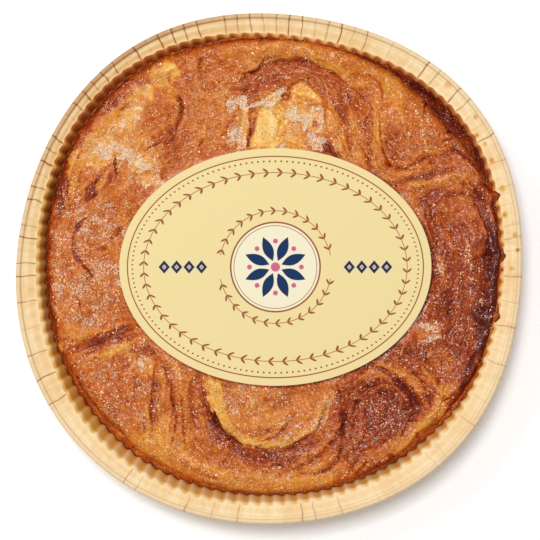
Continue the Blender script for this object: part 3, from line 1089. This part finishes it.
def label_material(settings):
    """Coated paper in butter yellow, printed with a flower in a wreath, lozenges and a leafy border."""
    material, start, surface = new_material("label_paper", Roughness=0.75, Specular_IOR_Level=0.2)
    place = object_place(start)
    parts = [start.node("SeparateXYZ", None, {0: place}, out=k) for k in (0, 1)]
    x, y = (part / MM + float(CENTRE[k] - LABEL_CENTRE[k]) for k, part in enumerate(parts))
    r = (x ** 2 + y ** 2).root()
    turn = y.angle_over(x) / TAU
    fleck = speckle(start, place, 0.8, 2.0) - 0.5
    medallion = settings.medallion / MM
    petals, buds = flower_print(r, turn)
    frames, diamonds = lozenge_print(x, y)
    colour = (0.5 + 0.3 * fleck).tint(rgba(settings.paper_shade), rgba(settings.paper))
    colour = inside(r - medallion).tint(colour, rgba(settings.cream))
    colour = russet_print(x, y, r, turn, medallion).tint(colour, rgba(settings.russet))
    colour = any_of(petals, frames).tint(colour, rgba(settings.navy))
    colour = any_of(diamonds, buds).tint(colour, rgba(settings.rose))
    start.feed(surface.inputs["Base Color"], colour)
    feed_bump(start, surface, 0.05, 0.1, fleck)
    return material


def case_profile():
    """The card's section from the floor's middle to the roll's end, as columns: radius, height, share of
    the flutes, share of the rim's lobes (the rest are the wall's), share of the ledge."""
    rows = [(*row, 0.0, 0.0) for row in FLOOR_SECTION]
    for up in np.linspace(0.0, 1.0, WALL_ROWS):
        height = part_way(FOOT_CORNER, WALL_TOP_HEIGHT, up)
        rows.append((part_way(FOOT_RADIUS, WALL_TOP_RADIUS, up), height, flute_share(height), 0.0, 0.0))
    corner = part_way(WALL_TOP_RADIUS, LEDGE_INNER_RADIUS, 0.3)
    rows.append((corner, WALL_TOP_HEIGHT + 0.55, TOP_FLUTE_SHARE, 0.0, 0.0))
    roll_outer = ROLL_RADIUS + CARD / 2
    roll_middle = RIM_RADIUS - roll_outer
    roll_height = CASE_HEIGHT - roll_outer
    for out in np.linspace(0.0, 1.0, LEDGE_ROWS):
        rows.append((part_way(LEDGE_INNER_RADIUS, roll_middle - ROLL_RADIUS, out),
                     part_way(LEDGE_HEIGHT, roll_height, out), TOP_FLUTE_SHARE * (1.0 - out) ** 7,
                     out, np.sin(np.pi * min(1.0, 0.12 + out))))
    for turn in np.radians(np.linspace(180.0, -130.0, ROLL_ROWS)[1:]):
        rows.append((roll_middle + ROLL_RADIUS * np.cos(turn), roll_height + ROLL_RADIUS * np.sin(turn),
                     0.0, 1.0, 0.0))
    return np.array(rows).T[..., None]


def wall_soak(theta, height, swing):
    """How far butter has soaked the card's wall: less at its top and where a fold swings in."""
    pale_top = 0.15 - 0.3 * bumps_round(theta, TANNED)
    stained = PLAIN_STAIN + bumps_round(theta, STAINS)
    return stained - pale_top * smooth_step(27.3, 28.3, height) + 0.36 * swing


def ledge_ridges(rimmed):
    """Where the pressed ledge stands up in two rounds, which stay pale."""
    return bell(rimmed, 0.72, 0.13) + bell(rimmed, 0.12, 0.08)


def ledge_soak(theta, rimmed, grid):
    """How far the ledge is tanned: pale on its ridges and beside the roll, dark in the spots."""
    tanned = 0.18 + 0.04 * smooth_step(0.3, 1.0, facing(theta, 145.0)) + 0.1 * bumps_round(theta, TANNED)
    soak = tanned * (1.0 - 0.9 * ledge_ridges(rimmed)) - 0.06 * smooth_step(0.85, 0.97, rimmed)
    for place, spread, strength in SPOTS:
        away = np.hypot(grid[..., 0] - place[0], grid[..., 1] - place[1])
        soak = soak + strength * smooth_step(1.3, 0.5, away / spread)
    return soak


def ledge_folds(theta, rimmed, notch):
    """Shade in the ledge's creases and along two pressed lines, and over the tanned side."""
    creases = notch * (0.55 + 0.45 * smooth_step(0.3, 0.75, facing(theta, 115.0)))
    lines = 0.2 * bell(rimmed, 0.8, 0.03) + 0.18 * bell(rimmed, 0.99, 0.03)
    uneven = 1.2 - 0.6 * facing(theta, 135.0) + 0.4 * gradient_noise(theta * 60.0, 1.0, 1.0, 74)
    shade = 0.2 * smooth_step(0.85, 0.97, rimmed) + 0.15 * (1.0 - ledge_ridges(rimmed))
    return np.maximum(creases, lines * uneven) + bumps_round(theta, TANNED) * shade


def build_case(settings):
    """The fluted case: the section carried round the rim. A flute is a wave leaning to one side, of
    uneven depth; each panel of the ledge tilts a little, with a wavering crease between panels."""
    panel = np.repeat(np.arange(FLUTES), len(PANEL_COLUMNS))
    offset = np.tile(PANEL_COLUMNS, FLUTES)
    theta = (panel + offset + 0.5) * TAU / FLUTES
    dice = np.random.default_rng(71)
    crease = dice.uniform(0.15, 1.0, FLUTES)[panel] ** 1.5
    tilt = dice.normal(0.0, 0.22, FLUTES)[panel]
    tone = dice.uniform(0.0, 1.0, FLUTES)[panel]
    swing = flute_swing(theta)
    around = theta * RIM_RADIUS

    radius, height, fluted, rimmed, ledge = case_profile()
    up = np.clip(height / WALL_TOP_HEIGHT, 0.0, 1.0)
    wall_lobe = lobes(theta, WALL_LOBES) * part_way(FOOT_LOBE_SHARE, 1.0, up)
    lobe = part_way(wall_lobe, lobes(theta, RIM_LOBES), rimmed)
    on_ledge = rimmed > 0.02
    notch = on_ledge * bell(offset, 0.0, 0.06) * crease
    r = radius + lobe + fluted * swing - (1.0 - rimmed) * drawn_in(theta, height)
    crinkle = 0.18 * gradient_noise(around, radius / 2.5, 1.5, 76)
    z = height + ledge * (tilt * offset + 0.1 * np.cos(TAU * offset) + crinkle) - 0.2 * notch
    sway = 0.12 * on_ledge * gradient_noise(theta * 30.0, radius / 4.0, 1.0, 73) * TAU / FLUTES
    grid = polar_grid(theta + sway, r, z)

    soak = np.where(on_ledge, ledge_soak(theta, rimmed, grid), wall_soak(theta, height, swing))
    crumple = on_ledge * 0.5 * gradient_noise(around, radius / 1.6, 1.0, 75)
    attributes = {
        "soak": np.clip(soak, 0.0, 1.0),
        "fold": np.clip(on_ledge * ledge_folds(theta, rimmed, notch), 0.0, 1.0),
        "panel": tone - 0.5 + crumple + 0.8 * smooth_step(0.93, 1.0, rimmed),
    }
    case = round_mesh("paper_case", grid, first_pole=(0.0, 0.0, FLOOR_HEIGHT), attributes=attributes)
    give_thickness(case, "card", settings.card_thickness)
    settle(case, card_material(settings), "kraft_card", "baking_case")


def side_rings(theta, edge):
    """Rings up the cake's side from its foot: held by the card's wall, then in over the open side."""
    _, _, rise = rim_plan(theta)
    touch, low = touch_radius(theta), touch_height(theta)
    out, down, inset = (np.array(column)[:, None] for column in (SIDE_OUT, SIDE_DOWN, FOOT_ROUND))
    open_r = part_way(edge, touch + flute_share(low) * flute_swing(theta), out)
    crumbs = layered_noise(theta * CAKE_RADIUS, 6.0 * out, SIDE_CRUMBS) * np.sin(np.pi * out)
    open_z = part_way(EDGE_HEIGHT + rise, low, out ** 1.5) + crumbs
    held_z = part_way(low, SIDE_FOOT, down)
    held_r = wall_radius(theta, held_z) - drawn_in(theta, held_z) - FLUTE_DEPTH - CARD / 2 - inset
    return polar_grid(theta, np.concatenate([open_r, held_r]), np.concatenate([open_z, held_z]))[::-1]


def side_tones(theta, count):
    """Browning, sugar and glaze of the side's rings: striped, and darkest by the first stain."""
    row = np.arange(count)[:, None]
    stripe = 0.16 * gradient_noise(theta * 30.0, 0.7 * row, 2.0, 32)
    stripe = stripe + 0.1 * gradient_noise(theta * CAKE_RADIUS, row, 1.5, 38)
    crumbly = bumps_round(theta, STAINS[:1])
    return {"bake": 0.69 + 0.34 * crumbly + stripe, "sugar": 0.15 + 0.1 * crumbly + stripe,
            "glaze": 0.4 - 0.5 * crumbly + stripe}


def top_radii(theta, edge):
    """Distances of the top's rings: over the shoulder, in to the label, and on under it."""
    inner = label_reach(theta) - LABEL_OVERLAP
    turns = np.linspace(0.0, np.pi / 2, SHOULDER_RINGS, endpoint=False)[:, None]
    shoulder = edge - SHOULDER_WIDTH * (1.0 - np.cos(turns))
    bare = part_way(edge - SHOULDER_WIDTH, inner, np.linspace(0.0, 1.0, TOP_RINGS)[:, None])
    hidden = inner * np.linspace(0.8, 0.1, LABEL_RINGS)[:, None]
    return np.concatenate([shoulder, bare, hidden])


def top_tones(theta, r, edge, crust):
    """Browning, sugar and glaze of the top: darker in cracks, at the edge and against the label."""
    crack = 0.14 * np.clip(crust.pit, 0.0, 1.0) - 0.12 * np.clip(crust.lip, 0.0, 1.0)
    crack = crack - 0.13 * crust.strands - 0.16 * crust.plates - 0.08 * crust.fine
    rim = np.clip(1.0 - (edge - r) / 2.0, 0.0, 1.0)
    pressed = smooth_step(1.5, 0.3, r - label_reach(theta)) * facing(theta, -50.0)
    return {"bake": np.clip(crust.bake + crack + 0.15 * rim + 0.3 * pressed, 0.02, 1.0),
            "sugar": np.clip(crust.sugar - 0.3 * crust.pit - 0.5 * rim, 0.0, 1.6),
            "glaze": np.clip(crust.glaze, 0.0, 1.0)}


def build_crust(settings):
    """The cake's skin from the middle of its foot, up the side, over the shoulder and in to the crown."""
    theta = np.arange(CRUST_AROUND) * TAU / CRUST_AROUND
    edge = edge_radius(theta)
    side = side_rings(theta, edge)
    r = top_radii(theta, edge)
    x, y, z, crust = crust_surface(np.broadcast_to(theta, r.shape), r, edge)
    grid = np.concatenate([side, np.stack([x, y, z], axis=-1)])[:, ::-1]
    below, above = side_tones(theta, len(side)), top_tones(theta, r, edge, crust)
    tones = {key: np.concatenate([below[key], above[key]])[:, ::-1] for key in below}
    cake = round_mesh("cake_crust", grid, (0.0, 0.0, SIDE_FOOT), (0.0, 0.0, CROWN_HEIGHT), tones)
    settle(cake, crust_material(settings), "caramelised_crust", "cake")


def turned_frames(dice, count):
    """Three square unit directions for each grain, turned at random."""
    axis = dice.normal(size=(count, 2, 3))
    first = axis[:, 0] / np.linalg.norm(axis[:, 0], axis=1, keepdims=True)
    second = np.cross(first, axis[:, 1])
    second /= np.linalg.norm(second, axis=1, keepdims=True)
    return np.stack([first, second, np.cross(first, second)], axis=1)


def build_grains(settings):
    """Grains of sugar: unit blocks turned at random, scaled, and dropped where the crust is sugary."""
    dice = np.random.default_rng(81)
    tries = 6 * settings.grains
    theta = dice.uniform(0.0, TAU, tries)
    edge = edge_radius(theta)
    inner = label_reach(theta) + 0.8
    r = np.sqrt(dice.uniform(inner ** 2, (edge - 1.5) ** 2))
    x, y, z, crust = crust_surface(theta, r, edge)
    clumps = 0.3 + layered_noise(x, y, ((1.8, 1.1, 82), (5.0, 1.1, 83)))
    chance = np.clip(crust.sugar, 0.08, 1.0) * np.clip(clumps, 0.02, 1.5) * 0.55
    kept = np.flatnonzero(dice.uniform(0.0, 1.0, tries) < chance)[:settings.grains]
    count = len(kept)
    frames = turned_frames(dice, count)
    frames = frames * (settings.grain_size / MM / 2 * dice.uniform(0.4, 1.2, (count, 3, 1)))
    signs = np.array([[sx, sy, sz] for sx in (-1, 1) for sy in (-1, 1) for sz in (-1, 1)], dtype=float)
    middle = np.stack([x[kept], y[kept], z[kept] + 0.12], axis=-1)
    points = (middle[:, None, :] + np.einsum("vk,gkc->gvc", signs, frames)).reshape(-1, 3)
    block = np.array([[0, 1, 3, 2], [4, 6, 7, 5], [0, 4, 5, 1], [2, 3, 7, 6], [0, 2, 6, 4], [1, 5, 7, 3]])
    quads = (block[None] + 8 * np.arange(count)[:, None, None]).reshape(-1, 4)
    white = np.repeat(dice.uniform(0.0, 1.0, count) ** 1.4, 8)
    grains = plain_mesh("sugar_grains", points, quads, attributes={"white": white})
    grains.data.shade_flat()
    settle(grains, sugar_material(settings), "caramelised_crust")


def build_label(settings):
    """The oval label: rings of an ellipse on the crown, a little wavy, given the paper's thickness."""
    theta = np.arange(LABEL_AROUND) * TAU / LABEL_AROUND
    share = np.concatenate([[1.0, 0.998], np.linspace(0.98, 1.0 / 24.0, 24)])[:, None]
    x = LABEL_CENTRE[0] + share * LABEL_HALF_LENGTH * np.cos(theta)
    y = LABEL_CENTRE[1] + share * LABEL_HALF_WIDTH * np.sin(theta)
    lift = LABEL_GAP + LABEL_THICKNESS / 2 + 0.12 * gradient_noise(x, y, 22.0, 61) * share
    grid = np.stack([x, y, crown(x, y) + lift], axis=-1)
    pole = (*LABEL_CENTRE, crown(*LABEL_CENTRE) + LABEL_GAP + LABEL_THICKNESS / 2)
    label = round_mesh("oval_label", grid, last_pole=pole)
    give_thickness(label, "paper", LABEL_THICKNESS * MM)
    settle(label, label_material(settings), "label_paper", "label")


def build_stage(settings):
    """A white floor, a soft key light from the upper left, a pale world, and the camera straight above."""
    corners = np.array([[-1.0, -1.0, 0.0], [1.0, -1.0, 0.0], [1.0, 1.0, 0.0], [-1.0, 1.0, 0.0]])
    floor = plain_mesh("floor", corners * settings.floor_half / MM + CENTRE, np.array([[0, 1, 2, 3]]))
    material, _, _ = new_material("white_floor", Base_Color=rgba(settings.floor_colour), Roughness=0.9,
                                  Emission_Color=(0.92, 0.97, 1.0, 1.0),
                                  Emission_Strength=settings.floor_glow)
    floor.data.materials.append(material)

    world = bpy.data.worlds.new("studio")
    bpy.context.scene.world = world
    world.use_nodes = True
    sky = world.node_tree.nodes["Background"]
    sky.inputs["Color"].default_value = (1.0, 1.0, 1.0, 1.0)
    sky.inputs["Strength"].default_value = settings.fill

    add_lamp("key_light", settings.key_direction, settings.key_elevation, settings.key_distance,
             settings.key_size, settings.key_power)
    add_lamp("side_light", settings.side_direction, settings.side_elevation, settings.key_distance,
             settings.side_size, settings.side_power)

    scene = bpy.context.scene
    scene.view_settings.view_transform = "Standard"
    lens = bpy.data.cameras.new("camera")
    camera = bpy.data.objects.new("camera", lens)
    scene.collection.objects.link(camera)
    scene.camera = camera
    half_view = settings.view_width / 2
    lens.lens = lens.sensor_width / 2 * settings.camera_height / half_view
    camera.location = (-CENTRE[0] * MM, -CENTRE[1] * MM, CASE_HEIGHT * MM + settings.camera_height)
    lens.clip_start, lens.clip_end = 0.01, 10.0


def add_lamp(name, direction, elevation, distance, size, power):
    """A square area light seen from the origin in a direction and at an elevation, facing it."""
    turn, rise = np.radians(direction), np.radians(elevation)
    towards = np.array([np.cos(turn) * np.cos(rise), np.sin(turn) * np.cos(rise), np.sin(rise)])
    data = bpy.data.lights.new(name, "AREA")
    data.size = size
    data.energy = power
    lamp = bpy.data.objects.new(name, data)
    bpy.context.scene.collection.objects.link(lamp)
    lamp.location = towards * distance
    x, y, z = towards
    lamp.rotation_euler = (float(np.arccos(z)), 0.0, float(np.arctan2(x, -y)))


def number(name, description, default, **more):
    """A property that holds a plain number."""
    return FloatProperty(name=name, description=description, default=default, **more)


def length(name, description, default):
    """A property that holds a length in metres."""
    return number(name, description, default, min=0.0, unit="LENGTH", precision=5)


def colour(name, description, default):
    """A property that holds a colour."""
    return FloatVectorProperty(name=name, description=description, default=default, subtype="COLOR",
                               size=3, min=0.0, max=1.0)


class CaseSettings(bpy.types.PropertyGroup):
    """The card and its colours"""
    card_thickness: length("Card", "Thickness of the card", CARD * MM)
    card_light: colour("Light card", "Pale places of the card", srgb(255, 231, 184))
    card_dark: colour("Dark card", "Darker places of the card", srgb(243, 206, 148))
    card_soaked: colour("Soaked card", "Card that butter has soaked", srgb(233, 174, 78))
    card_stained: colour("Stained card", "Card that caramel has stained", srgb(184, 92, 36))
    card_fold: colour("Folds", "Shade inside the ledge's creases", srgb(160, 90, 30))


class CrustSettings(bpy.types.PropertyGroup):
    """The crust's colours and its sugar"""
    crumb: colour("Crumb", "Pale inside of the dough", srgb(250, 218, 148))
    butter: colour("Butter", "Barely baked, buttery dough", srgb(242, 184, 76))
    golden: colour("Golden", "Golden crust", srgb(230, 152, 56))
    caramel: colour("Caramel", "Caramel crust", srgb(210, 116, 38))
    brown: colour("Brown", "Well baked crust", srgb(186, 84, 24))
    dark: colour("Dark", "Dark caramel", srgb(144, 48, 13))
    burnt: colour("Burnt", "Nearly burnt caramel", srgb(84, 20, 8))
    dust: colour("Dust", "Melted and powdery sugar", srgb(255, 236, 214))
    sugar: colour("Sugar", "Grains of sugar", srgb(255, 238, 212))
    melted: colour("Melted sugar", "Grains that have browned", srgb(228, 174, 116))
    grains: IntProperty(name="Grains", description="How many grains of sugar lie on the crust",
                        default=9000, min=0, max=16000)
    grain_size: length("Grain size", "Mean width of a grain", 0.38 * MM)


class LabelSettings(bpy.types.PropertyGroup):
    """The label's paper and print"""
    paper: colour("Paper", "Ground of the label", srgb(246, 226, 164))
    paper_shade: colour("Paper shade", "Flecks in the paper", srgb(241, 219, 156))
    cream: colour("Cream", "Ground of the medallion", srgb(247, 238, 205))
    russet: colour("Russet", "Leaves and lines", srgb(158, 84, 50))
    navy: colour("Navy", "Petals and lozenges", srgb(16, 50, 96))
    rose: colour("Rose", "Buds and middles", srgb(214, 102, 140))
    medallion: length("Medallion", "Radius of the pale disc", 16.5 * MM)


class StageSettings(bpy.types.PropertyGroup):
    """The floor, the lights and the camera"""
    floor_colour: colour("Floor", "Colour of the floor", (0.97, 0.98, 0.99))
    floor_glow: number("Floor glow", "Light that the floor gives off", 0.17)
    floor_half: length("Floor", "Half the floor's width", 3.0)
    fill: number("Fill", "Strength of the light from all round", 0.21)
    key_power: number("Key", "Power of the key light", 15.8, unit="POWER")
    key_direction: number("Key direction", "Degrees from +X", 116.0)
    key_elevation: number("Key elevation", "Degrees above the floor", 80.0)
    key_distance: length("Lamp distance", "Distance of both lights", 1.6)
    key_size: length("Key size", "Width of the key light", 0.32)
    side_power: number("Side", "Power of the low side light", 5.0, unit="POWER")
    side_direction: number("Side direction", "Degrees from +X", 142.0)
    side_elevation: number("Side elevation", "Degrees above the floor", 54.0)
    side_size: length("Side size", "Width of the low side light", 0.58)
    view_width: length("View width", "What the picture's width shows at the rim", 0.199)
    camera_height: length("Camera height", "Height of the camera above the rim", 0.9)


GROUPS = {"cake_case": CaseSettings, "cake_crust": CrustSettings, "cake_label": LabelSettings,
          "cake_stage": StageSettings}


class CAKE_OT_case(bpy.types.Operator):
    """Make the fluted paper case"""
    bl_idname = "cake.case"
    bl_label = "Paper case"

    def execute(self, context):
        build_case(context.scene.cake_case)
        return {"FINISHED"}


class CAKE_OT_crust(bpy.types.Operator):
    """Make the folded and caramelised cake"""
    bl_idname = "cake.crust"
    bl_label = "Crust"

    def execute(self, context):
        build_crust(context.scene.cake_crust)
        return {"FINISHED"}


class CAKE_OT_grains(bpy.types.Operator):
    """Scatter grains of sugar on the crust"""
    bl_idname = "cake.grains"
    bl_label = "Sugar grains"

    def execute(self, context):
        build_grains(context.scene.cake_crust)
        return {"FINISHED"}


class CAKE_OT_label(bpy.types.Operator):
    """Make the oval label and its print"""
    bl_idname = "cake.label"
    bl_label = "Label"

    def execute(self, context):
        build_label(context.scene.cake_label)
        return {"FINISHED"}


class CAKE_OT_stage(bpy.types.Operator):
    """Set up the floor, the lights and the camera"""
    bl_idname = "cake.stage"
    bl_label = "Stage"

    def execute(self, context):
        build_stage(context.scene.cake_stage)
        return {"FINISHED"}


OPERATORS = (CAKE_OT_stage, CAKE_OT_case, CAKE_OT_crust, CAKE_OT_grains, CAKE_OT_label)


class CAKE_PT_panel(bpy.types.Panel):
    """Lists the pieces and their settings"""
    bl_idname = "CAKE_PT_panel"
    bl_label = "Butter Cake"
    bl_space_type = "VIEW_3D"
    bl_region_type = "UI"
    bl_category = "Butter Cake"

    def draw(self, context):
        for operator in OPERATORS:
            self.layout.operator(operator.bl_idname)
        for name, group in GROUPS.items():
            box = self.layout.box()
            for key in group.__annotations__:
                box.prop(getattr(context.scene, name), key)


def register():
    for item in (*GROUPS.values(), *OPERATORS, CAKE_PT_panel):
        bpy.utils.register_class(item)
    for name, group in GROUPS.items():
        setattr(bpy.types.Scene, name, PointerProperty(type=group))


def unregister():
    for name in GROUPS:
        delattr(bpy.types.Scene, name)
    for item in reversed((*GROUPS.values(), *OPERATORS, CAKE_PT_panel)):
        bpy.utils.unregister_class(item)


def main():
    register()
    bpy.ops.cake.stage()
    bpy.ops.cake.case()
    bpy.ops.cake.crust()
    bpy.ops.cake.grains()
    bpy.ops.cake.label()


if __name__ == "__main__":
    main()
